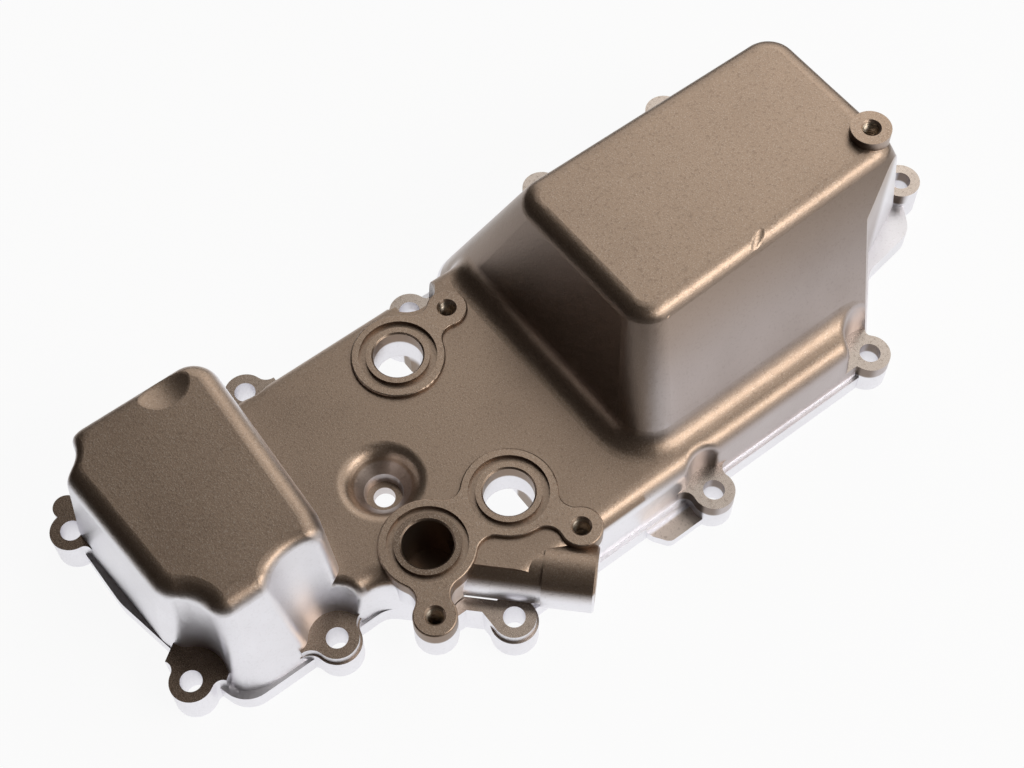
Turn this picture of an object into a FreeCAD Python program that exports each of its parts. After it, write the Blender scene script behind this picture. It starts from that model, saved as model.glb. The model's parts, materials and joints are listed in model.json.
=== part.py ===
"""Lower crankcase cover: one aluminium casting that lies on its gasket flange.

The gasket face is the plane z = 0. X runs along the long side, from the low dome on the
left to the tall box on the right. Y runs from the front edge, which carries the side
port, to the back edge. The plan is drawn from the round recess in the middle of the
plate and moved at the end, so that the origin is under the middle of the whole cover.
All sizes are in millimetres.
"""
import FreeCAD
import Part
import math
import os

Vector = FreeCAD.Vector

# Levels above the gasket face
flange_top = 6.5
lug_top = 12.0
lug_step_level = 9.0
front_pad_top = 3.6
plate_top = 25.0
pad_top = 26.4
dome_top = 46.0
box_top = 68.0
corner_boss_top = 71.0

# Move from the drawing point to the middle of the cover
plan_centre_x = 61.7
plan_centre_y = 0.33

# Lengths that only help to build
level_tolerance = 0.01
surface_tolerance = 0.02
overcut = 1.0
sink = 5.0
far = 70.0
full_turn = 360.0

# Walls of the casting
wall = 4.0
roof = 4.2
cavity_round = 3.0

# Flange outline at the gasket face
flange_left = -81.0
flange_dome_back = 60.5
flange_dome_front = -27.8
flange_dome_right = -9.0
flange_back = 54.5
flange_box_back = 64.0
flange_box_left = 92.0
flange_front = -54.6
flange_right = 204.5
flange_ledge = 1.5
flange_chamfer_x = -69.0
flange_bend_y = 22.0
flange_lug_x = -75.0
flange_lug_y = -9.0
flange_dome_step = 6.0
flange_box_step = 14.0
flange_corner_x = 22.0
flange_corner_y = 20.0
flange_small_round = 4.0
flange_middle_round = 9.0
flange_large_round = 15.0
flange_bend_round = 20.0
sharp_round = 1.0
slope_start_x = -19.0
slope_end_x = 1.2
corner_cut = 143.0
corner_angle = 45.0
corner_lean = 0.155
corner_ledge = 0.6
skirt_start_x = 174.3
skirt_cut = 95.4
skirt_angle = 25.0
skirt_edge_x = 195.5
skirt_edge_y = -23.8
skirt_end_step = 14.0

# Plate between the dome and the box
plate_back = 49.4
plate_draft = 1.2
plate_round = 6.5
plate_corner_round = 9.0
plate_left = -34.0
plate_right = 152.0

# Dome at the left end: base outline, then top outline
dome_round = 6.0
dome_base_right_back = -19.6
dome_base_right_turn = (-21.9, -3.0)
dome_base_right_front = -28.0
dome_side_corner_x = 2.8
dome_side_corner_y = 4.0
dome_front_corner_x = 10.2
dome_back_corner_x = 9.8
dome_back_corner_y = 10.5
dome_back_margin = 1.0
dome_front_round = 16.0
dome_middle_round = 12.0
dome_small_round = 9.0
dome_turn_round = 8.0
dome_end_round = 5.0
dome_taper_back = 2.5
dome_taper_front = 10.8
dome_top_right_back = -22.9
dome_top_right_turn = (-25.4, -6.0)
dome_top_back_corner_x = 12.2
dome_top_back_corner_y = 14.5
dome_top_side_x = 4.0
dome_top_side_corner_x = 6.3
dome_top_side_corner_y = 1.0
dome_top_front_corner_x = 14.7

# Box at the right end: outline at plate level and at its top
box_round = 6.0
box_foot_round = 9.0
box_left = 63.0
box_right = 192.0
box_front = -42.8
box_back = 52.9
box_top_left = 75.0
box_top_right = 176.6
box_top_front = -23.6
box_top_back = 33.2
box_top_skew = 1.6
box_skew = 1.0
box_top_front_round = 7.0
box_edge_round = 12.0
box_top_edge_round = 9.0

# Plan rectangle crossed by one edge of the box's foot
box_foot_low = (62.0, 0.0)
box_foot_high = (65.0, 6.0)

# Bolt lugs: centre, direction they point, distance to the wall, blend radius, wall clearance
bolt_hole_radius = 3.3
lug_radius = 6.5
lug_step = 0.7
spot_radius = 8.0
spot_flare = 0.06
spot_round = 3.0
lobe_spot_round = 3.0
scoop_radius = 6.4
scoop_flare = 0.265
scoop_round = 4.0
corner_spot_radius = 10.0
corner_spot_round = 6.0
lug_embed = 8.5
no_spot = 0.0
lugs = {
    "front_corner": (-77.8, -13.9, 215.0, 3.2, 3.0, no_spot),
    "left_back": (-80.8, 48.3, 180.0, 1.6, 2.5, no_spot),
    "front_left": (-37.2, -28.5, 270.0, 2.3, 4.6, no_spot),
    "front_port": (7.3, -54.6, 270.0, 8.0, 2.0, no_spot),
    "front_middle": (80.1, -58.6, 270.0, 5.4, 3.2, spot_radius),
    "front_right": (150.3, -52.0, 300.0, 4.1, 2.0, spot_radius + 1.0),
    "right_front": (204.2, -9.0, 340.0, 7.0, 1.0, spot_radius),
    "right_back": (199.5, 55.5, 45.0, 6.0, 4.0, spot_radius),
    "back_right": (161.0, 61.9, 90.0, 1.5, 4.0, spot_radius),
    "back_box": (108.0, 61.9, 90.0, 1.5, 4.0, spot_radius),
    "back_middle": (44.7, 49.5, 90.0, 0.2, 3.0, spot_radius),
    "back_left": (-13.5, 56.5, 90.0, 1.0, 4.0, spot_radius),
}

# Lugs whose bolt-head room has soft edges
soft_lugs = (
    "front_right", "front_middle", "right_front", "right_back",
    "back_right", "back_box", "back_left",
)

# Blind lobe beside the back lug of the dome
lobe_x = -78.1
lobe_y = 56.1
lobe_radius = 4.0
lobe_spot_radius = 7.4

# Plain pad on the front edge, between the side port and the middle lug
front_pad_left = 56.5
front_pad_right = 78.2
front_pad_front = -61.3
front_pad_slant = 5.2
front_pad_bend = 2.0
front_pad_round = 3.0

# Screw bosses with M6 threads
boss_radius = 6.5
tapping_radius = 2.55
mouth_radius = 3.15
mouth_depth = 0.6
thread_depth = 12.0
drill_tip = 1.5
corner_boss_radius = 6.3
boss_a = (36.4, -48.8)
boss_b = (-13.7, -45.4)
boss_c = (49.9, 35.5)
boss_d = (172.5, -14.8)
boss_b_bottom = 12.6
boss_c_bottom = 12.4
boss_d_bottom = 30.0

# Ringed ports
port_radius = 7.7
port_chamfer = 0.5
land_radius = 9.9
groove_radius = 12.1
groove_depth = 1.5
port_boss_radius = 14.6
port_wall = 3.6
sleeve_bottom = 13.0
deep_port_floor = 6.0
pad_blend = 5.0
pad_round = 0.6
port_1 = (27.9, 30.8)
port_2 = (26.5, -27.1)
port_3 = (-2.3, -26.1)

# Side port: a tube that leaves the deep port at 45 degrees
tube_angle = -45.0
tube_axis_height = 15.5
tube_radius = 9.2
tube_end_radius = 10.0
tube_step = 34.0
tube_length = 49.5
tube_chamfer = 0.6
tube_bore = 6.4
tube_mouth_radius = 7.6
tube_mouth_depth = 1.2

# Pocket between the tube and the boss that hangs beside the deep port
pocket_deep = (3.0, -37.0)
pocket_left = (-8.0, -42.0)
pocket_front_left = (-3.0, -62.0)
pocket_front_right = (28.0, -62.0)
pocket_round = 1.5
web_left = -3.4
web_back = -40.0
web_bend_y = -44.4
web_round = 3.0
web_embed = 3.0
web_edge_round = 0.5

# Round recess with a deeper bolt pocket in the middle of the plate
recess_x = -0.7
recess_y = -1.0
recess_radius = 11.2
recess_seat_radius = 6.0
recess_seat_level = 18.0
recess_pocket_radius = 5.4
recess_floor = 14.3
recess_rim_round = 2.5

# Two dents of the casting: in the back edge of the dome top, in the front edge of the box top
dent_x = -38.5
dent_y = 55.0
dent_radius = 23.4
dent_depth = 1.6
dent_round = 2.0
slash_start = (123.5, -22.3)
slash_start_rise = 2.9
slash_end = (116.5, -28.0)
slash_end_drop = 0.1
slash_radius = 3.4
slash_round = 1.0

# Rib under the plate, seen through the two open ports
rib_offset = 6.6
rib_thickness = 4.0
rib_bottom = 4.0


def unit(start, end):
    """Unit direction from one plan point to another."""
    dx = end[0] - start[0]
    dy = end[1] - start[1]
    length = math.hypot(dx, dy)
    return dx / length, dy / length


def inset(corners, distance):
    """Move every side of a rounded outline inwards by the same distance."""
    count = len(corners)
    moved = []
    for i in range(count):
        before = corners[i - 1]
        here = corners[i]
        after = corners[(i + 1) % count]
        u = unit(before, here)
        v = unit(here, after)
        a = (here[0] - u[1] * distance, here[1] + u[0] * distance)
        b = (here[0] - v[1] * distance, here[1] + v[0] * distance)
        turn = u[0] * v[1] - u[1] * v[0]
        along = ((b[0] - a[0]) * v[1] - (b[1] - a[1]) * v[0]) / turn
        radius = here[2] - math.copysign(distance, turn)
        if turn > 0:
            radius = max(here[2] - distance, cavity_round)
        moved.append((a[0] + u[0] * along, a[1] + u[1] * along, radius))
    return moved


def rounded_outline(corners, height):
    """Closed wire of straight sides and tangent corner arcs at one height."""
    count = len(corners)
    arcs = []
    for i in range(count):
        here = corners[i]
        u = unit(here, corners[i - 1])
        v = unit(here, corners[(i + 1) % count])
        half = math.acos(u[0] * v[0] + u[1] * v[1]) / 2
        cut = here[2] / math.tan(half)
        middle = unit((0, 0), (u[0] + v[0], u[1] + v[1]))
        reach = here[2] / math.sin(half) - here[2]
        start = Vector(here[0] + u[0] * cut, here[1] + u[1] * cut, height)
        end = Vector(here[0] + v[0] * cut, here[1] + v[1] * cut, height)
        crest = Vector(here[0] + middle[0] * reach, here[1] + middle[1] * reach, height)
        arcs.append((start, crest, end))
    edges = []
    for i in range(count):
        start, crest, end = arcs[i]
        following = arcs[(i + 1) % count][0]
        edges.append(Part.Arc(start, crest, end).toShape())
        edges.append(Part.LineSegment(end, following).toShape())
    return Part.Wire(edges)


def prism(corners, bottom, top):
    """Straight block over a rounded outline."""
    face = Part.Face(rounded_outline(corners, bottom))
    return face.extrude(Vector(0, 0, top - bottom))


def tapered(low, bottom, high, top):
    """Block that runs from one rounded outline to another one above it."""
    wires = [rounded_outline(low, bottom), rounded_outline(high, top)]
    return Part.makeLoft(wires, True, True)


def extended(low, level, high, top, bottom):
    """Outline that the tapered sides reach at a lower level."""
    part = (bottom - level) / (top - level)
    moved = []
    for a, b in zip(low, high):
        moved.append(tuple(p + (q - p) * part for p, q in zip(a, b)))
    return moved


def level_edges(shape, height):
    """Edges that lie wholly at one height."""
    found = []
    for edge in shape.Edges:
        box = edge.BoundBox
        low = abs(box.ZMin - height)
        high = abs(box.ZMax - height)
        if max(low, high) < level_tolerance:
            found.append(edge)
    return found


def foot_edges(shape, height, low_corner, high_corner):
    """Edges at one height inside a rectangle of the plan."""
    found = []
    for edge in level_edges(shape, height):
        centre = edge.CenterOfMass
        if low_corner[0] < centre.x < high_corner[0]:
            if low_corner[1] < centre.y < high_corner[1]:
                found.append(edge)
    return found


def post(point, radius, bottom, top):
    """Upright round post."""
    return Part.makeCylinder(radius, top - bottom, Vector(point[0], point[1], bottom))


def flared_cut(point, radius, bottom, top, flare=spot_flare):
    """Round clearance that opens on its way up."""
    base = Vector(point[0], point[1], bottom)
    return Part.makeCone(radius, radius + (top - bottom) * flare, top - bottom, base)


def flange_corners():
    """Outline of the gasket flange, counter-clockwise from the back of the dome."""
    slope = slope_end_x - slope_start_x
    cut = (corner_cut - corner_ledge) * math.sqrt(2)
    small = flange_small_round
    middle = flange_middle_round
    large = flange_large_round
    return [
        (flange_left, flange_dome_back, middle),
        (flange_left, flange_bend_y, flange_bend_round),
        (flange_lug_x, flange_lug_y, middle),
        (flange_chamfer_x, flange_dome_front, middle),
        (slope_start_x, flange_dome_front, middle),
        (slope_end_x, flange_dome_front - slope, small),
        (slope_end_x, flange_front, sharp_round),
        (cut + flange_front, flange_front, small),
        (skirt_start_x, skirt_start_x - cut, middle),
        (skirt_edge_x, skirt_edge_y, middle),
        (flange_right, skirt_edge_y + skirt_end_step, small),
        (flange_right, flange_box_back - flange_corner_y, large),
        (flange_right - flange_corner_x, flange_box_back, large),
        (flange_box_left, flange_box_back, middle),
        (flange_box_left - flange_box_step, flange_back, middle),
        (flange_dome_right + flange_dome_step, flange_back, middle),
        (flange_dome_right, flange_dome_back, small),
    ]


def plate_corners():
    """Outline of the plate at its top; both ends are buried in the dome and the box."""
    front = flange_front + flange_ledge + plate_draft / 2
    dome_front = flange_dome_front + flange_ledge
    slope_x = slope_start_x - flange_ledge / 2
    return [
        (plate_left, plate_back, plate_corner_round),
        (plate_left, dome_front, plate_corner_round),
        (slope_x, dome_front, plate_corner_round),
        (slope_x + dome_front - front, front, plate_corner_round),
        (plate_right, front, plate_corner_round),
        (plate_right, plate_back, plate_corner_round),
    ]


def plate():
    """Flat plate with softly rounded top edges and drafted sides."""
    top = plate_corners()
    low = inset(top, -plate_draft)
    body = tapered(low, -sink, top, plate_top)
    return body.makeFillet(plate_round, level_edges(body, plate_top)).Solids[0]


def dome_outlines():
    """Base outline and top outline of the dome."""
    left = flange_left + flange_ledge / 2
    back = flange_dome_back
    front = flange_dome_front + flange_ledge / 2
    top_back = back - dome_taper_back
    top_front = front + dome_taper_front
    low = [
        (dome_base_right_back, back - dome_back_margin, dome_small_round),
        (left + dome_back_corner_x, back, dome_small_round),
        (left, back - dome_back_corner_y, dome_small_round),
        (left + dome_side_corner_x, dome_side_corner_y, dome_middle_round),
        (left + dome_front_corner_x, front, dome_front_round),
        (dome_base_right_front, front, dome_end_round),
        (dome_base_right_turn[0], dome_base_right_turn[1], dome_turn_round),
    ]
    high = [
        (dome_top_right_back, top_back, dome_small_round),
        (left + dome_top_back_corner_x, top_back, dome_small_round),
        (left + dome_top_side_x, back - dome_top_back_corner_y, dome_small_round),
        (left + dome_top_side_corner_x, dome_top_side_corner_y, dome_small_round),
        (left + dome_top_front_corner_x, top_front, dome_small_round),
        (dome_base_right_front, top_front, dome_end_round),
        (dome_top_right_turn[0], dome_top_right_turn[1], dome_turn_round),
    ]
    return low, high


def dome():
    """Low dome at the left end with soft upper edges, a dent and three hollows at its bolts."""
    low, high = dome_outlines()
    bottom = flange_top - flange_ledge
    body = tapered(low, bottom, high, dome_top)
    body = body.makeFillet(dome_round, level_edges(body, dome_top)).Solids[0]
    for values in dome_hollows():
        body = dome_hollow(body, *values)
    dent = Part.makeSphere(dent_radius, Vector(dent_x, dent_y, dome_top + dent_radius - dent_depth))
    return softened_cut(body, dent, dent_round)


def dome_hollows():
    """Place, radius at the foot, flare and edge radius of the hollows in the dome's sides."""
    return [
        (lugs["front_corner"], corner_spot_radius, spot_flare, corner_spot_round),
        ((lobe_x, lobe_y), lobe_spot_radius, spot_flare, lobe_spot_round),
        (lugs["front_left"], scoop_radius, scoop_flare, scoop_round),
    ]


def dome_hollow(body, point, radius, flare, round_radius):
    """Cut one upright hollow into the dome's side and round its edges."""
    bottom = flange_top - flange_ledge - overcut
    half = dome_top / 2
    body = body.cut(flared_cut(point, radius, bottom, box_top, flare)).Solids[0]
    edges = []
    for edge in clearance_edges(body, point, radius, bottom, flare):
        if edge.BoundBox.ZMax > half:
            if edge.BoundBox.ZLength > sink or edge.BoundBox.ZMin > half:
                edges.append(edge)
    return body.makeFillet(round_radius, edges).Solids[0]


def clearance_edges(body, point, radius, bottom, flare=spot_flare):
    """Edges that one flared round clearance has left in a body."""
    edges = []
    for edge in body.Edges:
        middle = edge.valueAt((edge.FirstParameter + edge.LastParameter) / 2)
        reach = math.hypot(middle.x - point[0], middle.y - point[1])
        limit = radius + (middle.z - bottom) * flare
        if abs(reach - limit) < surface_tolerance and middle.z > bottom + level_tolerance:
            edges.append(edge)
    return edges


def softened_cut(body, tool, round_radius):
    """Cut a dent into a body and round the rim that it leaves."""
    body = body.cut(tool).Solids[0]
    rim = []
    for edge in body.Edges:
        point = edge.valueAt((edge.FirstParameter + edge.LastParameter) / 2)
        if tool.Shells[0].distToShape(Part.Vertex(point))[0] < level_tolerance:
            rim.append(edge)
    return body.makeFillet(round_radius, rim).Solids[0]


def box_outlines():
    """Outline of the box at plate level and at its top."""
    low = [
        (box_left, box_back, box_edge_round),
        (box_left + box_skew, box_front, box_edge_round),
        (box_right, box_front, box_edge_round),
        (box_right, box_back, box_edge_round),
    ]
    high = [
        (box_top_left, box_top_back, box_top_edge_round),
        (box_top_left + box_skew, box_top_front - box_top_skew, box_top_edge_round),
        (box_top_right, box_top_front + box_top_skew, box_top_front_round),
        (box_top_right, box_top_back, box_top_edge_round),
    ]
    return low, high


def box():
    """Tall box at the right end with tapered walls and soft upper edges."""
    low, high = box_outlines()
    bottom = flange_top - flange_ledge
    base = extended(low, plate_top, high, box_top, bottom)
    body = tapered(base, bottom, high, box_top)
    body = body.makeFillet(box_round, level_edges(body, box_top)).Solids[0]
    start = Vector(*slash_start, box_top + slash_start_rise)
    end = Vector(*slash_end, box_top - slash_end_drop)
    slash = Part.makeCylinder(slash_radius, (end - start).Length, start, end - start)
    for point in (start, end):
        slash = slash.fuse(Part.makeSphere(slash_radius, point))
    return softened_cut(body, slash, slash_round)


def corner_turn(height, margin=0.0):
    """Plan point where the two walls beside the box corner meet at one height."""
    first = corner_cut - corner_lean * height - margin
    second = skirt_cut - margin
    a = math.radians(corner_angle)
    b = math.radians(skirt_angle)
    turn = math.sin(a) * math.cos(b) - math.cos(a) * math.sin(b)
    x = (second * math.cos(a) - first * math.cos(b)) / -turn
    y = (second * math.sin(a) - first * math.sin(b)) / -turn
    return x, y


def corner_wedge(margin):
    """Room beside the box corner: one wall at 45 degrees, one along the skirt."""
    b = math.radians(skirt_angle)
    wires = []
    for height in (-sink, box_top + sink * 2):
        x, y = corner_turn(height, margin)
        points = [
            Vector(x, y, height),
            Vector(x - far, y - far, height),
            Vector(x + far, y - far, height),
            Vector(x + math.cos(b) * far, y + math.sin(b) * far, height),
        ]
        points.append(points[0])
        wires.append(Part.makePolygon(points))
    return Part.makeLoft(wires, True, True)


def main_body():
    """Plate, dome and box in one body with a soft concave foot at the box."""
    scoop = dome_hollows()[-1]
    bottom = flange_top - flange_ledge - overcut
    room = flared_cut(scoop[0], scoop[1], bottom, box_top, scoop[2])
    body = plate().cut(room).Solids[0]
    edges = clearance_edges(body, scoop[0], scoop[1], bottom, scoop[2])
    edges = [edge for edge in edges if edge.BoundBox.ZMax > lug_top + overcut]
    body = body.makeFillet(spot_round, edges).Solids[0]
    body = body.fuse(dome()).fuse(box()).Solids[0]
    box_foot = foot_edges(body, plate_top, box_foot_low, box_foot_high)
    body = body.makeFillet(box_foot_round, box_foot)
    return body.cut(below_gasket()).Solids[0]


def below_gasket():
    """Room under the gasket face."""
    half = (flange_right - flange_left) * 2
    corner = Vector(-half, -half, -half)
    return Part.makeBox(half * 2, half * 2, half, corner)


def flange():
    """Flat gasket flange under the whole cover."""
    return prism(flange_corners(), 0.0, flange_top)


def placed(u, v, centre, angle):
    """Plan point that lies u along the wall and v out of it, seen from a lug."""
    a = math.radians(angle)
    x = centre[0] - u * math.sin(a) + v * math.cos(a)
    y = centre[1] + u * math.cos(a) + v * math.sin(a)
    return x, y


def lug(values, radius=lug_radius, top=lug_top):
    """Round lug whose flat top runs back to the wall in two tangent blends."""
    x, y, angle, reach, blend, _ = values
    wide = math.sqrt((radius + blend) ** 2 - (blend - reach) ** 2)
    share = radius / (radius + blend)
    side = (wide * share, (blend - reach) * share)
    corners = {
        "right": (wide, -reach),
        "right_side": side,
        "nose": (0.0, radius),
        "left_side": (-side[0], side[1]),
        "left": (-wide, -reach),
        "left_back": (-wide, -reach - lug_embed),
        "right_back": (wide, -reach - lug_embed),
    }
    bend = middle_of_arc((wide, blend - reach), blend, corners["right"], side)
    corners["right_bend"] = bend
    corners["left_bend"] = (-bend[0], bend[1])
    p = {}
    for name, (u, v) in corners.items():
        px, py = placed(u, v, (x, y), angle)
        p[name] = Vector(px, py, 0.0)
    edges = [
        Part.Arc(p["right"], p["right_bend"], p["right_side"]).toShape(),
        Part.Arc(p["right_side"], p["nose"], p["left_side"]).toShape(),
        Part.Arc(p["left_side"], p["left_bend"], p["left"]).toShape(),
        Part.makeLine(p["left"], p["left_back"]),
        Part.makeLine(p["left_back"], p["right_back"]),
        Part.makeLine(p["right_back"], p["right"]),
    ]
    return Part.Face(Part.Wire(edges)).extrude(Vector(0, 0, top))


def middle_of_arc(centre, radius, start, end):
    """Point half-way along the short arc between two points of a circle."""
    a = unit(centre, start)
    b = unit(centre, end)
    m = unit((0.0, 0.0), (a[0] + b[0], a[1] + b[1]))
    return centre[0] + m[0] * radius, centre[1] + m[1] * radius


def neck(first, first_radius, second, second_radius, blend, bottom, top):
    """Web between two round bosses with a tangent concave blend on both sides."""
    distance = math.hypot(second[0] - first[0], second[1] - first[1])
    a = first_radius + blend
    b = second_radius + blend
    along = (a * a - b * b + distance * distance) / (2 * distance)
    out = math.sqrt(a * a - along * along)
    u = unit(first, second)

    def at(length, side):
        return (first[0] + u[0] * length - u[1] * side, first[1] + u[1] * length + u[0] * side)

    edges = []
    ends = []
    for side in (1.0, -1.0):
        middle = at(along, out * side)
        to_first = unit(middle, first)
        to_second = unit(middle, second)
        start = (middle[0] + to_first[0] * blend, middle[1] + to_first[1] * blend)
        end = (middle[0] + to_second[0] * blend, middle[1] + to_second[1] * blend)
        bend = middle_of_arc(middle, blend, start, end)
        points = [Vector(q[0], q[1], bottom) for q in (start, bend, end)]
        edges.append(Part.Arc(*points).toShape())
        ends.append((points[0], points[2]))
    first_point = Vector(first[0], first[1], bottom)
    second_point = Vector(second[0], second[1], bottom)
    wire = Part.Wire([
        Part.makeLine(first_point, ends[0][0]),
        edges[0],
        Part.makeLine(ends[0][1], second_point),
        Part.makeLine(second_point, ends[1][1]),
        edges[1],
        Part.makeLine(ends[1][0], first_point),
    ])
    return Part.Face(wire).extrude(Vector(0, 0, top - bottom))


def spot_cuts(margin, bottom):
    """Clearances for bolt heads around all lugs, cut into the walls above them."""
    cuts = []
    for values in lugs.values():
        if values[-1] > no_spot:
            cuts.append(flared_cut(values, values[-1] + margin, bottom, box_top))
    return cuts


def soft_clearances(body):
    """Cut the room for the bolt heads and round its edges where a mould would."""
    for name in soft_lugs:
        values = lugs[name]
        body = body.cut(flared_cut(values, values[-1], lug_top, box_top)).Solids[0]
        edges = clearance_edges(body, values, values[-1], lug_top)
        body = body.makeFillet(spot_round, edges).Solids[0]
    return body


def stepped_lug(values):
    """Lug whose foot is a little wider than its top."""
    return lug(values).fuse(lug(values, lug_radius + lug_step, lug_step_level))


def port_web():
    """Flat web at lug height between the side port's lug and the sloping wall."""
    right = lugs["front_port"][0]
    corners = [
        (right, lugs["front_port"][1], sharp_round),
        (right, web_back, sharp_round),
        (web_left - web_embed, web_back, sharp_round),
        (web_left - web_embed, web_bend_y, web_edge_round),
        (slope_end_x - lug_step / 2, web_bend_y, web_round),
        (slope_end_x - lug_step / 2, lugs["front_port"][1], sharp_round),
    ]
    return prism(corners, 0.0, lug_top)


def pocket_cut():
    """Room above the web, between the tube and the hanging boss."""
    corners = [
        (pocket_deep[0], pocket_deep[1], pocket_round),
        (pocket_left[0], pocket_left[1], pocket_round),
        (pocket_front_left[0], pocket_front_left[1], pocket_round),
        (pocket_front_right[0], pocket_front_right[1], pocket_round),
    ]
    return prism(corners, lug_top, pad_top + overcut)


def rib():
    """Upright rib under the plate, on the box side of the two open ports."""
    left = port_1[0] + rib_offset
    back = plate_back - wall / 2
    front = flange_front + wall / 2
    corner = Vector(left, front, rib_bottom)
    return Part.makeBox(rib_thickness, back - front, plate_top - roof / 2 - rib_bottom, corner)


def front_pad():
    """Plain flat pad on the front edge."""
    inside = flange_front + sink
    corners = [
        (front_pad_left, inside, sharp_round),
        (front_pad_left + front_pad_bend, flange_front - front_pad_bend, front_pad_round),
        (front_pad_left + front_pad_slant, front_pad_front, front_pad_round),
        (front_pad_right, front_pad_front, sharp_round),
        (front_pad_right - front_pad_slant, inside, sharp_round),
    ]
    return prism(corners, 0.0, front_pad_top)


def plate_cavity():
    """Hollow under the plate."""
    top = inset(plate_corners(), wall)
    low = inset(plate_corners(), wall - plate_draft)
    body = tapered(low, -sink, top, plate_top - roof)
    return body.makeFillet(cavity_round, level_edges(body, plate_top - roof)).Solids[0]


def dome_cavity():
    """Hollow of the dome."""
    low, high = dome_outlines()
    level = flange_top - flange_ledge
    ceiling = dome_top - roof
    top = inset(extended(low, level, high, dome_top, ceiling), wall)
    base = inset(extended(low, level, high, dome_top, -overcut), wall)
    body = tapered(base, -overcut, top, ceiling)
    return body.makeFillet(cavity_round, level_edges(body, ceiling)).Solids[0]


def box_cavity():
    """Hollow of the box."""
    low, high = box_outlines()
    ceiling = box_top - roof
    top = inset(extended(low, plate_top, high, box_top, ceiling), wall)
    base = inset(extended(low, plate_top, high, box_top, -overcut), wall)
    body = tapered(base, -overcut, top, ceiling)
    return body.makeFillet(cavity_round, level_edges(body, ceiling)).Solids[0]


def cavity():
    """Whole hollow under the cover, kept a wall away from the bolt clearances."""
    body = plate_cavity().fuse([dome_cavity(), box_cavity()])
    body = body.cut(corner_wedge(wall))
    clear = spot_cuts(wall, -sink)
    for point, radius, flare, _ in dome_hollows():
        clear.append(flared_cut(point, radius + wall, 0.0, box_top, flare))
    for name in ("left_back", "front_port"):
        clear.append(post(lugs[name], bolt_hole_radius + wall, -sink, lug_top + wall))
    return body.cut(clear)


def pads():
    """Raised pads of the ports and their screw bosses, joined by necks, with soft edges."""
    low = plate_top - roof
    shapes = [
        post(port_1, port_boss_radius, low, pad_top),
        post(port_2, port_boss_radius, low, pad_top),
        post(port_3, port_boss_radius, boss_b_bottom, pad_top),
        post(boss_a, boss_radius, tube_axis_height, pad_top),
        post(boss_b, boss_radius, boss_b_bottom, pad_top),
        post(boss_c, boss_radius, boss_c_bottom, pad_top),
        neck(port_1, port_boss_radius, boss_c, boss_radius, pad_blend, low, pad_top),
        neck(port_2, port_boss_radius, port_3, port_boss_radius, pad_blend, low, pad_top),
        neck(port_2, port_boss_radius, boss_a, boss_radius, pad_blend, low, pad_top),
        neck(port_3, port_boss_radius, boss_b, boss_radius, pad_blend, boss_b_bottom, pad_top),
    ]
    joined = shapes[0].fuse(shapes[1:]).removeSplitter()
    return [s.makeFillet(pad_round, level_edges(s, pad_top)) for s in joined.Solids]


def sleeves():
    """Walls around the port bores under the plate."""
    radius = port_radius + port_wall
    return [
        post(port_1, radius, sleeve_bottom, plate_top),
        post(port_2, radius, sleeve_bottom, plate_top),
        post(port_3, radius, deep_port_floor - wall, plate_top),
    ]


def tube():
    """Round tube of the side port with its thicker machined end."""
    start = Vector(port_3[0], port_3[1], tube_axis_height)
    a = math.radians(tube_angle)
    direction = Vector(math.cos(a), math.sin(a), 0)
    inner = Part.makeCylinder(tube_radius, tube_length, start, direction)
    end_start = start + direction * tube_step
    end = Part.makeCylinder(tube_end_radius, tube_length - tube_step, end_start, direction)
    tip = start + direction * tube_length
    rim = [e for e in end.Edges if (e.CenterOfMass - tip).Length < surface_tolerance]
    end = end.makeChamfer(tube_chamfer, rim)
    return [inner, end]


def tube_cuts():
    """Bore and mouth of the side port."""
    start = Vector(port_3[0], port_3[1], tube_axis_height)
    a = math.radians(tube_angle)
    direction = Vector(math.cos(a), math.sin(a), 0)
    bore = Part.makeCylinder(tube_bore, tube_length + overcut, start, direction)
    tip = start + direction * (tube_length - tube_mouth_depth)
    mouth = Part.makeCone(tube_bore, tube_mouth_radius + tube_mouth_depth, tube_mouth_depth * 2,
                          tip, direction)
    return [bore, mouth]


def thread_hole(point, top):
    """Blind tapped hole with a small lead-in."""
    bottom = top - thread_depth
    mouth_base = Vector(point[0], point[1], top - mouth_depth)
    tip_base = Vector(point[0], point[1], bottom - drill_tip)
    return [
        post(point, tapping_radius, bottom, top + overcut),
        Part.makeCone(tapping_radius, mouth_radius, mouth_depth, mouth_base),
        Part.makeCone(0.0, tapping_radius, drill_tip, tip_base),
    ]


def port_cuts(point, bottom):
    """Bore and seal groove of one port."""
    above = pad_top + overcut
    floor = pad_top - groove_depth
    groove = post(point, groove_radius, floor, above)
    groove = groove.cut(post(point, land_radius, floor - overcut, above + overcut))
    base = Vector(point[0], point[1], pad_top - port_chamfer)
    lead = Part.makeCone(port_radius, port_radius + port_chamfer, port_chamfer, base)
    return [post(point, port_radius, bottom, above), groove, lead]


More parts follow.
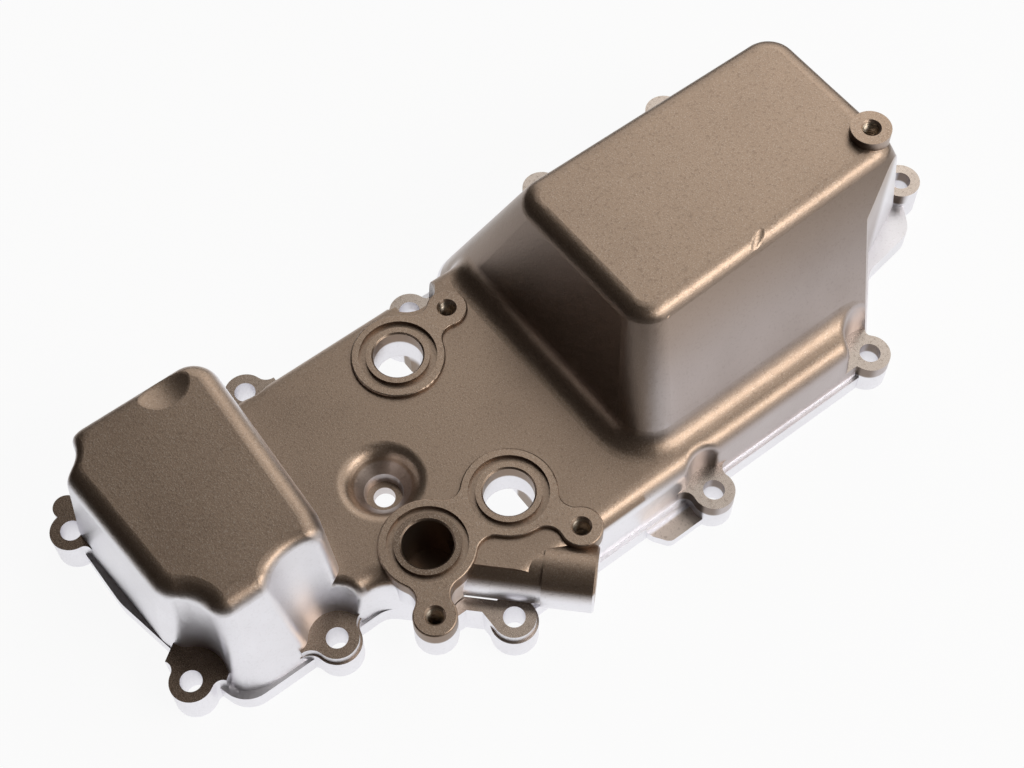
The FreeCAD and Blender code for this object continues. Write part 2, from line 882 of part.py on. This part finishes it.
def recess_cut():
    """Round recess with a soft rim, its seat and its bolt hole."""
    slope = (recess_radius - recess_seat_radius) / (plate_top - recess_seat_level)
    start = Vector(recess_radius - slope * recess_rim_round, 0.0, plate_top - recess_rim_round)
    corner = Vector(recess_radius, 0.0, plate_top)
    end = Vector(recess_radius + recess_rim_round, 0.0, plate_top)
    rim = Part.BezierCurve()
    rim.setPoles([start, corner, end])
    up = Vector(0.0, 0.0, overcut)
    floor = Vector(0.0, 0.0, recess_floor)
    pocket = Vector(recess_pocket_radius, 0.0, recess_floor)
    seat = Vector(recess_seat_radius, 0.0, recess_seat_level)
    over = Vector(0.0, 0.0, plate_top + overcut)
    wire = Part.Wire([
        Part.makeLine(floor, pocket),
        Part.makeLine(pocket, seat),
        Part.makeLine(seat, start),
        rim.toShape(),
        Part.makeLine(end, end + up),
        Part.makeLine(end + up, over),
        Part.makeLine(over, floor),
    ])
    cut = Part.Face(wire).revolve(Vector(0.0, 0.0, 0.0), up, full_turn)
    cut.translate(Vector(recess_x, recess_y, 0.0))
    hole = post((recess_x, recess_y), bolt_hole_radius, 0.0, recess_floor + overcut)
    return [cut, hole]


def bolt_holes():
    """Clearance holes of all lugs."""
    above = lug_top + overcut
    return [post(values, bolt_hole_radius, -overcut, above) for values in lugs.values()]


def build_cover():
    """Complete cover before it is moved to its origin."""
    body = soft_clearances(main_body()).cut(corner_wedge(0.0))
    body = body.cut(spot_cuts(0.0, lug_top) + [pocket_cut()])
    solids = [flange(), front_pad(), post((lobe_x, lobe_y), lobe_radius, 0.0, lug_top)]
    solids += [port_web(), stepped_lug(lugs["front_port"]), stepped_lug(lugs["front_left"])]
    solids += [lug(values) for values in lugs.values()]
    body = body.fuse(solids)
    body = body.cut(cavity())
    solids = pads() + sleeves() + tube() + [rib()]
    solids.append(post(boss_d, corner_boss_radius, boss_d_bottom, corner_boss_top))
    recess = (recess_x, recess_y)
    seat_wall = recess_seat_radius + wall
    solids.append(post(recess, seat_wall, recess_floor - wall, plate_top - overcut))
    body = body.fuse(solids)
    cuts = bolt_holes() + tube_cuts() + recess_cut()
    cuts += port_cuts(port_1, 0.0) + port_cuts(port_2, 0.0) + port_cuts(port_3, deep_port_floor)
    for point in (boss_a, boss_b, boss_c):
        cuts += thread_hole(point, pad_top)
    cuts += thread_hole(boss_d, corner_boss_top)
    return body.cut(cuts)


if __name__ == "__main__":
    cover = build_cover().Solids[0]
    cover.translate(Vector(-plan_centre_x, -plan_centre_y, 0.0))
    os.makedirs("parts", exist_ok=True)
    cover.exportStep("parts/crankcase_cover.step")
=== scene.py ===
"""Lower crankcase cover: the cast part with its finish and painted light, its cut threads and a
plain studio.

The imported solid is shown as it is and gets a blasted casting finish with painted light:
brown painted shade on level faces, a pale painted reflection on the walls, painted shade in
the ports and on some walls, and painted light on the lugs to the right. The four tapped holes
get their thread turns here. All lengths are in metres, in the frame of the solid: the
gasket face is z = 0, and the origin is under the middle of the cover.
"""

import json
import logging
import math
from dataclasses import dataclass, field
from enum import Enum
from typing import Any, Optional, Union

import bmesh
import bpy
from mathutils import Matrix, Vector

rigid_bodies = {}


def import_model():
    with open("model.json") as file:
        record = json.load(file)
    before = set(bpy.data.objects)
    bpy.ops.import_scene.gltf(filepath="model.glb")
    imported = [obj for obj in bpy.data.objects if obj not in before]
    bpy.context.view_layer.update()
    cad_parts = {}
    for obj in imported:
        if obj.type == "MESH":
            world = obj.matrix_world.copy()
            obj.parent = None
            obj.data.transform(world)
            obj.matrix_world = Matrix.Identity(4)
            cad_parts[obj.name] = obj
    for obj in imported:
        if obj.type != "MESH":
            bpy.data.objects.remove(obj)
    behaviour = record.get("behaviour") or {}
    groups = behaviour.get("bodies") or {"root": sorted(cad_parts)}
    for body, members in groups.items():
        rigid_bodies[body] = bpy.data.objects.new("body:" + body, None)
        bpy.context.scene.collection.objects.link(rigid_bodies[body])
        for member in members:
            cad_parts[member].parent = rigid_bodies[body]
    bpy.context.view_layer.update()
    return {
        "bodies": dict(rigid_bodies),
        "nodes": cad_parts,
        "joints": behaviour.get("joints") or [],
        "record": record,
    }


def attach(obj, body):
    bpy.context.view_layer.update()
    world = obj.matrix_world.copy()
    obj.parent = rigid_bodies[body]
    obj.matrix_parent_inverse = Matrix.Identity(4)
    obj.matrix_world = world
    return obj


LOG = logging.getLogger("cover")
MM = 0.001


class BodyName(Enum):
    """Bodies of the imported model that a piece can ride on."""

    ROOT = "root"


class SlotName(Enum):
    """Material slots that the record names."""

    CASTING = "casting"


Number = Union[int, float]
Feed = Union["Value", Number, tuple]


class Value:
    """One socket of a shader graph that can be used in sums like a number."""

    def __init__(self, graph: "Graph", socket: bpy.types.NodeSocket) -> None:
        """Keep the graph and the socket that carries the value."""
        self.graph = graph
        self.socket = socket

    def _math(self, operation: str, first: Feed, second: Feed) -> "Value":
        """Add one Math node.

        Args:
            operation: Name of the sum.
            first: Value or number that comes first.
            second: Value or number that comes second.

        Returns:
            The result of the sum.
        """
        settings = {"operation": operation}
        return self.graph.node("ShaderNodeMath", settings, {0: first, 1: second})

    def __add__(self, other: Feed) -> "Value":
        """Sum with another value."""
        return self._math("ADD", self, other)

    def __radd__(self, other: Feed) -> "Value":
        """Sum with a number on the left."""
        return self._math("ADD", other, self)

    def __sub__(self, other: Feed) -> "Value":
        """Difference with another value."""
        return self._math("SUBTRACT", self, other)

    def __rsub__(self, other: Feed) -> "Value":
        """Difference with a number on the left."""
        return self._math("SUBTRACT", other, self)

    def __mul__(self, other: Feed) -> "Value":
        """Product with another value."""
        return self._math("MULTIPLY", self, other)

    def __rmul__(self, other: Feed) -> "Value":
        """Product with a number on the left."""
        return self._math("MULTIPLY", other, self)


class Graph:
    """Node tree of one material or world, filled by one method."""

    def __init__(self, owner: Union[bpy.types.Material, bpy.types.World]) -> None:
        """Start an empty tree on a material or a world.

        Args:
            owner: Material or world that gets the tree.
        """
        owner.use_nodes = True
        self.tree = owner.node_tree
        self.tree.nodes.clear()

    def node(
        self,
        kind: str,
        settings: Optional[dict[str, Any]] = None,
        feeds: Optional[dict[Union[int, str], Feed]] = None,
        output: Union[int, str] = 0,
    ) -> Value:
        """Add a node, set it up and feed its sockets.

        Args:
            kind: Type name of the node.
            settings: Properties of the node.
            feeds: Numbers, colours or values for its input sockets.
            output: Output socket to hand back.

        Returns:
            The chosen output of the new node.
        """
        made = self.tree.nodes.new(kind)
        for name, setting in (settings or {}).items():
            setattr(made, name, setting)
        for name, feed in (feeds or {}).items():
            if isinstance(feed, Value):
                self.tree.links.new(feed.socket, made.inputs[name])
            else:
                made.inputs[name].default_value = feed
        return Value(self, made.outputs[output] if len(made.outputs) else None)

    def mix(self, factor: Feed, first: Feed, second: Feed) -> Value:
        """Blend two colours.

        Args:
            factor: Share of the second colour.
            first: Colour at factor 0.
            second: Colour at factor 1.

        Returns:
            The blended colour.
        """
        settings = {"data_type": "RGBA"}
        feeds = {0: factor, 6: first, 7: second}
        return self.node("ShaderNodeMix", settings, feeds, 2)

    def smooth_step(self, value: Feed, low: float, high: float) -> Value:
        """Soft step from 0 to 1.

        Args:
            value: Value to be stepped.
            low: Value where the step starts.
            high: Value where the step ends.

        Returns:
            A value between 0 and 1.
        """
        settings = {"interpolation_type": "SMOOTHSTEP"}
        feeds = {"Value": value, "From Min": low, "From Max": high}
        return self.node("ShaderNodeMapRange", settings, feeds)

    def noise(self, place: Value, scale: float, detail: float, roughness: float) -> Value:
        """Solid noise over the object.

        Args:
            place: Object coordinates.
            scale: Number of grains a metre.
            detail: Octaves of the noise.
            roughness: Strength of the finer octaves.

        Returns:
            The noise, from about 0 to 1.
        """
        feeds = {"Vector": place, "Scale": scale, "Detail": detail, "Roughness": roughness}
        return self.node("ShaderNodeTexNoise", {}, feeds)

    def object_place(self) -> Value:
        """Coordinates of the surface point in the object's own frame."""
        return self.node("ShaderNodeTexCoord", {}, {}, "Object")

    def facing(self, axis: int) -> Value:
        """How far the surface faces along one axis of the object, from -1 to 1.

        Args:
            axis: 0, 1 or 2 for X, Y or Z.

        Returns:
            That part of the surface normal.
        """
        normal = self.node("ShaderNodeTexCoord", {}, {}, "Normal")
        return self.node("ShaderNodeSeparateXYZ", {}, {0: normal}, axis)


@dataclass(frozen=True)
class Fade:
    """Soft step of a value, from 0 at its start to 1 where it is full."""

    start: float
    full: float

    def rise(self, value: Value) -> Value:
        """Step up over the value.

        Args:
            value: Value to be stepped.

        Returns:
            0 below the start, 1 above the full value.
        """
        return value.graph.smooth_step(value, self.start, self.full)

    def fall(self, value: Value) -> Value:
        """Step down over the value.

        Args:
            value: Value to be stepped.

        Returns:
            1 below the start, 0 above the full value.
        """
        return 1.0 - self.rise(value)


@dataclass(frozen=True)
class Grain:
    """Solid noise with spots where it is strong."""

    scale: float
    detail: float
    roughness: float
    spots: Fade
    on_walls: float
    on_level: float

    def noise(self, graph: Graph, place: Value) -> Value:
        """Make the noise.

        Args:
            graph: Graph of the casting.
            place: Object coordinates.

        Returns:
            The noise, from about 0 to 1.
        """
        return graph.noise(place, self.scale, self.detail, self.roughness)

    def cover(self, noise: Value, level: Value) -> Value:
        """Share of the surface's colour that the spots take.

        Args:
            noise: The noise of this grain.
            level: 1 on level faces, which carry the brown painted shade, 0 on walls.

        Returns:
            A share from 0 to 1.
        """
        return self.spots.rise(noise) * (self.on_walls + level * self.on_level)


@dataclass(frozen=True)
class SurfacePoint:
    """Where a point of the casting lies and how its surface faces."""

    graph: Graph
    place: Value
    along: Value
    across: Value
    height: Value
    upward: Value
    leftward: Value

    @classmethod
    def read(cls, graph: Graph) -> "SurfacePoint":
        """Take the point's data from the object's own frame.

        Args:
            graph: Graph of the casting.

        Returns:
            The point.
        """
        place = graph.object_place()
        parts = [graph.node("ShaderNodeSeparateXYZ", {}, {0: place}, axis) for axis in range(3)]
        return cls(graph, place, *parts, graph.facing(2), 0.0 - graph.facing(0))

    def near(self, centre: tuple, radius: float) -> Value:
        """Mark what lies near an upright line.

        Args:
            centre: Point of the line on the gasket face.
            radius: Distance at which the mark starts to fade.

        Returns:
            1 near the line, 0 away from it.
        """
        flat = self.graph.node("ShaderNodeVectorMath", {"operation": "MULTIPLY"}, {
            0: self.place, 1: (1.0, 1.0, 0.0),
        })
        away = self.graph.node("ShaderNodeVectorMath", {"operation": "DISTANCE"}, {
            0: flat, 1: centre,
        }, 1)
        return Fade(radius, radius + MM).fall(away)


@dataclass(frozen=True)
class CastingFinishWithPaintedLight:
    """Fine blasted casting with painted light: brown painted shade on level faces, a pale painted
    reflection on the steep walls.
    """

    # Painted reflection and shade by facing: level faces get the casting's warm tone darkened by
    # painted shade, steep walls a near white that is a painted reflection of the floor.
    level_tone_and_shade: tuple = (0.39, 0.288, 0.216, 1.0)
    wall_reflection_colour: tuple = (0.86, 0.85, 0.89, 1.0)
    # Painted shade on the box's walls.
    box_wall_shade_colour: tuple = (0.50, 0.445, 0.44, 1.0)
    # Painted shade on walls that face left.
    left_wall_shade_colour: tuple = (0.24, 0.19, 0.16, 1.0)
    # Painted shadow on the pads' walls.
    pad_wall_shadow_colour: tuple = (0.25, 0.18, 0.135, 1.0)
    # Painted light on the lugs towards the right.
    lug_light_colour: tuple = (0.60, 0.52, 0.46, 1.0)
    # Painted shade in the ports.
    bore_shade_colour: tuple = (0.24, 0.175, 0.13, 1.0)
    stain_colour: tuple = (0.17, 0.12, 0.09, 1.0)
    pale_colour: tuple = (0.62, 0.53, 0.45, 1.0)

    # Where the brown painted shade goes: faces that look up, above the flange's ledge or at the
    # front pad; the ledge keeps most of the walls' pale painted reflection.
    level_facing: Fade = Fade(0.22, 0.85)
    ledge: Fade = Fade(7.2 * MM, 8.2 * MM)
    front_pad: Fade = Fade(-56.5 * MM, -55.5 * MM)
    ledge_share: float = 0.10

    # Masks of the painted shade on the box's walls and on their upper part.
    box_left: Fade = Fade(-8.0 * MM, 22.0 * MM)
    box_right: Fade = Fade(112.0 * MM, 120.0 * MM)
    box_upper: Fade = Fade(40.0 * MM, 66.0 * MM)
    upper_shade_share: float = 0.7
    # Mask of the painted shade on walls that face left.
    left_wall: Fade = Fade(-22.0 * MM, 0.0)
    left_facing: Fade = Fade(0.25, 0.7)

    # Mask of the painted shadow on the pads' walls.
    pad_foot: Fade = Fade(21.0 * MM, 22.0 * MM)
    pad_top: Fade = Fade(26.6 * MM, 27.6 * MM)
    pads_left: Fade = Fade(-86.0 * MM, -85.0 * MM)
    pads_right: Fade = Fade(-4.0 * MM, -3.0 * MM)

    # Painted shade near the recess: its walls take part of the brown level shade.
    recess: tuple = (-62.4 * MM, -1.33 * MM, 0.0)
    recess_radius: float = 13.5 * MM
    recess_shade_share: float = 0.4
    # Painted shade in the deep port and low in the open ports.
    deep_port: tuple = (-64.0 * MM, -26.43 * MM, 0.0)
    open_ports: tuple = (
        (-33.8 * MM, 30.47 * MM, 0.0),
        (-35.2 * MM, -27.43 * MM, 0.0),
    )
    port_radius: float = 9.8 * MM
    port_shade: Fade = Fade(10.0 * MM, 14.0 * MM)

    # Mask of the painted light on the lugs, rising towards the right.
    lug_height: Fade = Fade(12.6 * MM, 13.6 * MM)
    lug_paling: Fade = Fade(-125.0 * MM, 15.0 * MM)

    clouds: Grain = Grain(22.0, 4.0, 0.6, Fade(0.42, 0.80), 0.12, 0.22)
    grain: Grain = Grain(2600.0, 2.0, 0.6, Fade(0.52, 0.70), 0.0, 0.45)
    pits: Grain = Grain(1200.0, 2.0, 0.55, Fade(0.54, 0.70), 0.05, 0.30)
    grain_height: float = 0.06 * MM
    pit_height: float = 0.06 * MM
    bump_strength: float = 0.6

    metallic: float = 0.95
    roughness: float = 0.37
    roughness_spread: float = 0.10
    machined_roughness: float = 0.27
    machined_relief: float = 0.5
    machined_levels: tuple = (12.0 * MM, 26.4 * MM, 71.0 * MM)
    machined_reach: Fade = Fade(0.1 * MM, 0.2 * MM)
    machined_facing: Fade = Fade(0.985, 0.999)

    def material(self) -> bpy.types.Material:
        """Build the material.

        Returns:
            The casting material.
        """
        made = bpy.data.materials.new("blasted_casting_painted_light")
        graph = Graph(made)
        point = SurfacePoint.read(graph)
        clouds, grain, pits = [
            each.noise(graph, point.place) for each in (self.clouds, self.grain, self.pits)
        ]
        raised = self.ledge.rise(point.height)
        level = self._level(point, raised)
        # Painted reflection and shade by facing: walls get their pale painted reflection, level
        # faces their brown painted shade.
        colour = graph.mix(level, self._walls(point, raised), self._tops(point))
        # Painted shade inside the deep port.
        inside = point.near(self.deep_port, self.port_radius)
        colour = graph.mix(inside, colour, self.bore_shade_colour)
        colour = graph.mix(self.clouds.cover(clouds, level), colour, self.stain_colour)
        colour = graph.mix(self.grain.cover(grain, level), colour, self.pale_colour)
        colour = graph.mix(self.pits.cover(pits, level), colour, self.stain_colour)
        machined = self._machined(point)
        mean = 0.5
        rough = self.roughness + (clouds - mean + grain - mean) * self.roughness_spread
        rough = rough - machined * (self.roughness - self.machined_roughness)
        relief = grain * self.grain_height + pits * self.pit_height
        relief = relief * (1.0 - machined * self.machined_relief)
        bump = graph.node("ShaderNodeBump", {}, {
            "Strength": self.bump_strength, "Distance": 1.0, "Height": relief,
        })
        shader = graph.node("ShaderNodeBsdfPrincipled", {}, {
            "Base Color": colour,
            "Metallic": self.metallic,
            "Roughness": rough,
            "Normal": bump,
        })
        graph.node("ShaderNodeOutputMaterial", {}, {"Surface": shader})
        return made

    def _level(self, point: SurfacePoint, raised: Value) -> Value:
        """Mark the level faces that get the brown painted shade; the ledge of the flange mostly
        keeps the walls' pale painted reflection.

        Args:
            point: Point of the surface.
            raised: 1 above the ledge of the flange.

        Returns:
            1 on a level face with brown painted shade, 0 on a wall.
        """
        front = self.front_pad.fall(point.across)
        browned = point.graph.node(
            "ShaderNodeMath", {"operation": "MAXIMUM"}, {0: raised, 1: front}
        )
        share = self.ledge_share + browned * (1.0 - self.ledge_share)
        return self.level_facing.rise(point.upward) * share

    def _walls(self, point: SurfacePoint, raised: Value) -> Value:
        """Colour of the steep faces: a pale painted reflection, with painted shade on the box, on
        walls facing left, on the pads' walls, near the recess and low in the open ports.

        Args:
            point: Point of the surface.
            raised: 1 above the ledge of the flange.

        Returns:
            The colour of a wall at this point.
        """
        graph = point.graph
        # Painted shade on the box's walls, browner towards their top.
        boxed = self.box_left.rise(point.along) * raised * self.box_right.fall(point.along)
        wall = graph.mix(boxed, self.wall_reflection_colour, self.box_wall_shade_colour)
        upper = self.box_upper.rise(point.height) * boxed * self.upper_shade_share
        wall = graph.mix(upper, wall, self.level_tone_and_shade)
        # Painted shade on the walls that face left.
        left = self.left_wall.rise(point.along) * raised * self.left_facing.rise(point.leftward)
        wall = graph.mix(left, wall, self.left_wall_shade_colour)
        # Painted shadow on the pads' walls.
        padded = self.pad_foot.rise(point.height) * self.pad_top.fall(point.height)
        padded = padded * self.pads_left.rise(point.along) * self.pads_right.fall(point.along)
        wall = graph.mix(padded, wall, self.pad_wall_shadow_colour)
        # Painted shade on the walls near the recess.
        recessed = point.near(self.recess, self.recess_radius) * self.recess_shade_share
        wall = graph.mix(recessed, wall, self.level_tone_and_shade)
        # Painted shade low in the open ports.
        for port in self.open_ports:
            shaded = self.port_shade.fall(point.height) * point.near(port, self.port_radius)
            wall = graph.mix(shaded, wall, self.bore_shade_colour)
        return wall

    def _tops(self, point: SurfacePoint) -> Value:
        """Colour of the level faces: brown painted shade, with painted light making the lugs
        paler towards the right.

        Args:
            point: Point of the surface.

        Returns:
            The colour of a level face at this point.
        """
        # Painted light: lugs paler towards the right.
        lug = self.lug_height.fall(point.height) * self.lug_paling.rise(point.along)
        return point.graph.mix(lug, self.level_tone_and_shade, self.lug_light_colour)

    def _machined(self, point: SurfacePoint) -> Value:
        """Mark the machined faces by their heights.

        Args:
            point: Point of the surface.

        Returns:
            1 on a machined face, 0 elsewhere.
        """
        marks: Feed = 0.0
        for machined_level in self.machined_levels:
            off = point.graph.node(
                "ShaderNodeMath", {"operation": "ABSOLUTE"}, {0: point.height - machined_level}
            )
            marks = self.machined_reach.fall(off) + marks
        return marks * self.machined_facing.rise(point.upward)


@dataclass(frozen=True)
class ThreadFinish:
    """Cut thread turns: bare metal, smoother than the casting and darkened by oil."""

    colour: tuple = (0.78, 0.68, 0.56, 1.0)
    dark_colour: tuple = (0.34, 0.26, 0.19, 1.0)
    metallic: float = 1.0
    roughness: float = 0.30
    roughness_spread: float = 0.15
    film: Grain = Grain(400.0, 3.0, 0.6, Fade(0.35, 0.7), 1.0, 0.0)

    def material(self) -> bpy.types.Material:
        """Build the material.

        Returns:
            The thread material.
        """
        made = bpy.data.materials.new("cut_thread")
        graph = Graph(made)
        film = self.film.noise(graph, graph.object_place())
        colour = graph.mix(self.film.spots.rise(film), self.colour, self.dark_colour)
        shader = graph.node("ShaderNodeBsdfPrincipled", {}, {
            "Base Color": colour,
            "Metallic": self.metallic,
            "Roughness": self.roughness + (film - 0.5) * self.roughness_spread,
        })
        graph.node("ShaderNodeOutputMaterial", {}, {"Surface": shader})
        return made


@dataclass
class TappedHole:
    """Thread turns of one tapped hole."""

    name: str
    x: float
    y: float
    top: float
    depth: float = 10.9 * MM
    lead: float = 0.5 * MM
    pitch: float = 1.0 * MM
    root_radius: float = 2.62 * MM
    crest_radius: float = 2.22 * MM
    half_base: float = 0.46 * MM
    half_crest: float = 0.06 * MM
    steps_per_turn: int = 36

    def build(self, finish: bpy.types.Material) -> bpy.types.Object:
        """Sweep the thread's profile down the hole.

        Args:
            finish: Material of the thread.

        Returns:
            The thread as an object at the origin.
        """
        shape = bmesh.new()
        start = self.top - self.lead - self.half_base
        profile = [
            (self.root_radius, self.half_base),
            (self.crest_radius, self.half_crest),
            (self.crest_radius, -self.half_crest),
            (self.root_radius, -self.half_base),
        ]
        verts = [shape.verts.new((self.x + r, self.y, start + z)) for r, z in profile]
        first = shape.faces.new(verts)
        turns = self.depth / self.pitch
        steps = round(turns * self.steps_per_turn)
        bmesh.ops.spin(
            shape,
            geom=[first] + list(first.edges) + verts,
            cent=(self.x, self.y, 0.0),
            axis=(0.0, 0.0, 1.0),
            dvec=(0.0, 0.0, -self.depth / steps),
            angle=turns * 2.0 * math.pi,
            steps=steps,
            use_merge=False,
        )
        bmesh.ops.recalc_face_normals(shape, faces=shape.faces)
        piece = new_object(self.name, shape, finish)
        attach(piece, BodyName.ROOT.value)
        return piece


@dataclass
class Cover:
    """The casting itself and the threads cut into it."""

    node_name: str = "crankcase_cover"
    holes: list[TappedHole] = field(default_factory=lambda: [
        TappedHole("thread_front", -25.3 * MM, -49.13 * MM, 26.4 * MM),
        TappedHole("thread_left", -75.4 * MM, -45.73 * MM, 26.4 * MM),
        TappedHole("thread_back", -11.8 * MM, 35.17 * MM, 26.4 * MM),
        TappedHole("thread_corner", 110.8 * MM, -15.13 * MM, 71.0 * MM),
    ])

    def build(self, frame: dict[str, Any]) -> None:
        """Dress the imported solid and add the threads.
        """
        node = frame["nodes"][self.node_name]
        node.data.materials.clear()
        node.data.materials.append(CastingFinishWithPaintedLight().material())
        LOG.info("%s: %d faces dressed", node.name, len(node.data.polygons))
        thread = ThreadFinish().material()
        for hole in self.holes:
            piece = hole.build(thread)
            LOG.info("%s: %d faces", piece.name, len(piece.data.polygons))


@dataclass(frozen=True)
class SoftBox:
    """One rectangular lamp that points at a place on the object."""

    name: str
    place: tuple[float, float, float]
    aim: tuple[float, float, float]
    width: float
    height: float
    power: float
    colour: tuple[float, float, float] = (1.0, 1.0, 1.0)

    def build(self) -> bpy.types.Object:
        """Make the lamp.

        Returns:
            The lamp object.
        """
        data = bpy.data.lights.new(self.name, "AREA")
        data.shape = "RECTANGLE"
        data.size = self.width
        data.size_y = self.height
        data.energy = self.power
        data.color = self.colour
        lamp = bpy.data.objects.new(self.name, data)
        lamp.location = self.place
        look = Vector(self.aim) - Vector(self.place)
        lamp.rotation_euler = look.to_track_quat("-Z", "Y").to_euler()
        bpy.context.scene.collection.objects.link(lamp)
        return lamp


@dataclass
class Studio:
    """Plain pale floor, soft lamps, a quiet room and the camera."""

    floor_size: float = 6.0
    floor_colour: tuple = (0.86, 0.86, 0.87, 1.0)
    backdrop_colour: tuple = (1.0, 1.0, 1.0, 1.0)
    pool_near: float = 0.15
    pool_far: float = 0.40
    pool_edge: float = 0.03
    pool_centre: tuple = (0.0, -0.05, 0.0)
    white_share: float = 0.93
    room_turn: tuple = (0.05, 0.31)
    room_dark: tuple = (0.03, 0.026, 0.024, 1.0)
    room_bright: tuple = (0.98, 0.97, 0.95, 1.0)
    camera_place: tuple = (-0.1746, -0.21853, 0.4989)
    camera_right: tuple = (0.7946, -0.6071, -0.0092)
    camera_up: tuple = (0.5294, 0.6853, 0.5000)
    lens: float = 63.29
    sensor: float = 36.0
    lamps: list[SoftBox] = field(default_factory=lambda: [
        SoftBox("side", (0.85, 0.52, 0.80), (0.08, 0.0, 0.05), 0.5, 0.4, 0.5, (1.0, 0.97, 0.93)),
        SoftBox("front", (0.40, -0.75, 0.75), (0.0, 0.0, 0.03), 0.7, 0.4, 4.0, (1.0, 0.97, 0.93)),
    ])

    def build(self) -> None:
        """Make the floor, the room, the lamps and the camera."""
        self._floor()
        self._room()
        for lamp in self.lamps:
            lamp.build()
        self._camera()
        bpy.context.scene.view_settings.view_transform = "Standard"

    def _floor(self) -> None:
        """Lay the floor under the cover."""
        shape = bmesh.new()
        bmesh.ops.create_grid(shape, x_segments=2, y_segments=2, size=self.floor_size / 2.0)
        floor = new_object("floor", shape, self._floor_material())
        LOG.info("%s laid", floor.name)

    def _floor_material(self) -> bpy.types.Material:
        """Pale floor that stays white behind the object; in reflections it glows as a painted
        pool of light under the object, fading outwards.

        Returns:
            The floor material.
        """
        made = bpy.data.materials.new("pale_floor")
        graph = Graph(made)
        place = graph.object_place()
        distance = graph.node("ShaderNodeVectorMath", {"operation": "DISTANCE"}, {
            0: place, 1: self.pool_centre,
        }, 1)
        far = graph.smooth_step(distance, self.pool_near, self.pool_far)
        pool = 1.0 - far * (1.0 - self.pool_edge)
        camera = graph.node("ShaderNodeLightPath", {}, {}, "Is Camera Ray")
        glossy = graph.node("ShaderNodeLightPath", {}, {}, "Is Glossy Ray")
        clear = graph.node("ShaderNodeLightPath", {}, {}, "Is Transmission Ray")
        matte = graph.node("ShaderNodeBsdfDiffuse", {}, {"Color": self.floor_colour})
        white = graph.node("ShaderNodeEmission", {}, {"Color": self.backdrop_colour})
        # Painted glow: in reflections the floor shines white in a pool under the object that
        # fades outwards.
        shine = graph.node("ShaderNodeEmission", {}, {
            "Color": self.backdrop_colour, "Strength": pool,
        })
        seen = graph.node("ShaderNodeMixShader", {}, {
            0: camera * self.white_share, 1: matte, 2: white,
        })
        surface = graph.node("ShaderNodeMixShader", {}, {0: glossy + clear, 1: seen, 2: shine})
        graph.node("ShaderNodeOutputMaterial", {}, {"Surface": surface})
        return made

    def _room(self) -> None:
        """Fill the room: white behind the object, dim on the left, bright on the right."""
        world = bpy.data.worlds.new("room")
        bpy.context.scene.world = world
        graph = Graph(world)
        direction = graph.node("ShaderNodeTexCoord", {}, {}, "Generated")
        side = graph.node("ShaderNodeVectorMath", {"operation": "DOT_PRODUCT"}, {
            0: direction, 1: (1.0, 0.0, 0.0),
        }, 1)
        bright = graph.node("ShaderNodeMapRange", {}, {
            "Value": side, "From Min": self.room_turn[0], "From Max": self.room_turn[1],
        })
        colour = graph.mix(bright, self.room_dark, self.room_bright)
        room = graph.node("ShaderNodeBackground", {}, {"Color": colour, "Strength": 1.0})
        backdrop = graph.node("ShaderNodeBackground", {}, {
            "Color": self.backdrop_colour, "Strength": 1.0,
        })
        camera = graph.node("ShaderNodeLightPath", {}, {}, "Is Camera Ray")
        surface = graph.node("ShaderNodeMixShader", {}, {0: camera, 1: room, 2: backdrop})
        graph.node("ShaderNodeOutputWorld", {}, {"Surface": surface})

    def _camera(self) -> None:
        """Set the camera at the photograph's place."""
        data = bpy.data.cameras.new("camera")
        data.lens = self.lens
        data.sensor_fit = "HORIZONTAL"
        data.sensor_width = self.sensor
        camera = bpy.data.objects.new("camera", data)
        right = Vector(self.camera_right).normalized()
        up = Vector(self.camera_up)
        up = (up - right * up.dot(right)).normalized()
        turn = Matrix((right, up, right.cross(up))).transposed()
        camera.matrix_world = Matrix.Translation(self.camera_place) @ turn.to_4x4()
        bpy.context.scene.collection.objects.link(camera)
        bpy.context.scene.camera = camera


def new_object(
    name: str, shape: bmesh.types.BMesh, finish: bpy.types.Material
) -> bpy.types.Object:
    """Turn a finished bmesh into an object at the origin.

    Args:
        name: Name of the piece.
        shape: Mesh data, freed afterwards.
        finish: Material of the piece.

    Returns:
        The object, linked to the scene.
    """
    mesh = bpy.data.meshes.new(name)
    shape.to_mesh(mesh)
    shape.free()
    mesh.materials.append(finish)
    made = bpy.data.objects.new(name, mesh)
    bpy.context.scene.collection.objects.link(made)
    return made


def main() -> None:
    """Build the cover and its studio."""
    logging.basicConfig(level=logging.INFO, format="%(name)s: %(message)s")
    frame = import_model()
    Cover().build(frame)
    Studio().build()


if __name__ == "__main__":
    main()
